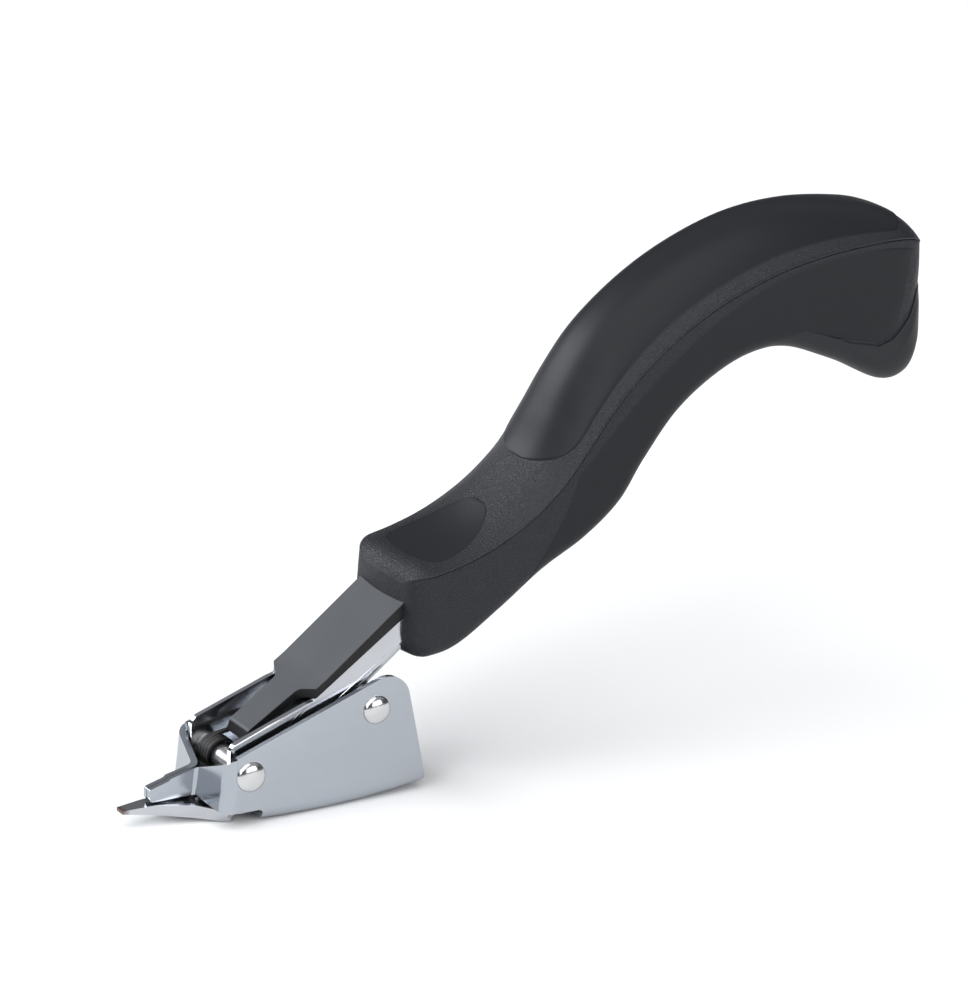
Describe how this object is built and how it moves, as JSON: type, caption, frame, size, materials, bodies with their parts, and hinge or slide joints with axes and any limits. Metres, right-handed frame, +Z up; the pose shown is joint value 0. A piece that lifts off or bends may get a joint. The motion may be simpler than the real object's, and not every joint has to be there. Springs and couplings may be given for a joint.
{
  "type": "lever staple remover",
  "caption": "Heavy-duty lever staple remover: sprung tongue under a fixed steel beak, rocker-soled jaw frame and a curved black hand grip.",
  "frame": {"origin": "under the middle of the part's length and width, on the plane that the rocker sole touches", "axes": "+X back from the jaws to the grip, +Z up from the work surface, +Y to the far side when the jaws point left"},
  "size_m": [0.1756, 0.0286, 0.1045],
  "materials": {
    "frame_chrome": "bright chrome plate on folded sheet steel",
    "lever_chrome": "bright chrome plate with a worn tongue tip",
    "rivet_chrome": "plated domed rivet heads",
    "plain_steel": "turned zinc-plated steel",
    "spring_steel": "oiled spring wire",
    "blackened_steel": "black oxide, satin",
    "block_plastic": "plain moulded",
    "core_plastic": "fine spark-eroded grain",
    "grained_plastic": "fine spark-eroded grain",
    "satin_plastic": "smooth satin",
    "pommel_plastic": "smooth satin"
  },
  "bodies": {
    "frame": {"jaw_frame": "frame_chrome", "pivot_rivet": "rivet_chrome", "rear_rivet": "rivet_chrome", "rear_spacer": "plain_steel", "pivot_washer_left": "plain_steel", "pivot_washer_right": "plain_steel", "pivot_bush": "plain_steel", "return_spring": "spring_steel"},
    "lever": {"lever_channel": "lever_chrome", "cover_plate": "blackened_steel", "tang_block": "block_plastic", "tang_pin_front": "plain_steel", "tang_pin_rear": "plain_steel", "grip_core": "core_plastic", "top_cover": "grained_plastic", "thumb_pad": "satin_plastic", "grip_inlay": "satin_plastic", "side_panel_left": "satin_plastic", "side_panel_right": "satin_plastic", "pommel_pad": "pommel_plastic"}
  },
  "joints": [
    {"name": "lever_pivot", "type": "hinge", "parent": "frame", "child": "lever", "pos_m": [-0.0654, 0, 0.0101], "axis": [0, 1, 0], "range_deg": [-10, 0], "stiffness_Nm_per_rad": 0.5, "springref_deg": 20.05, "deforming": ["return_spring"]}
  ]
}
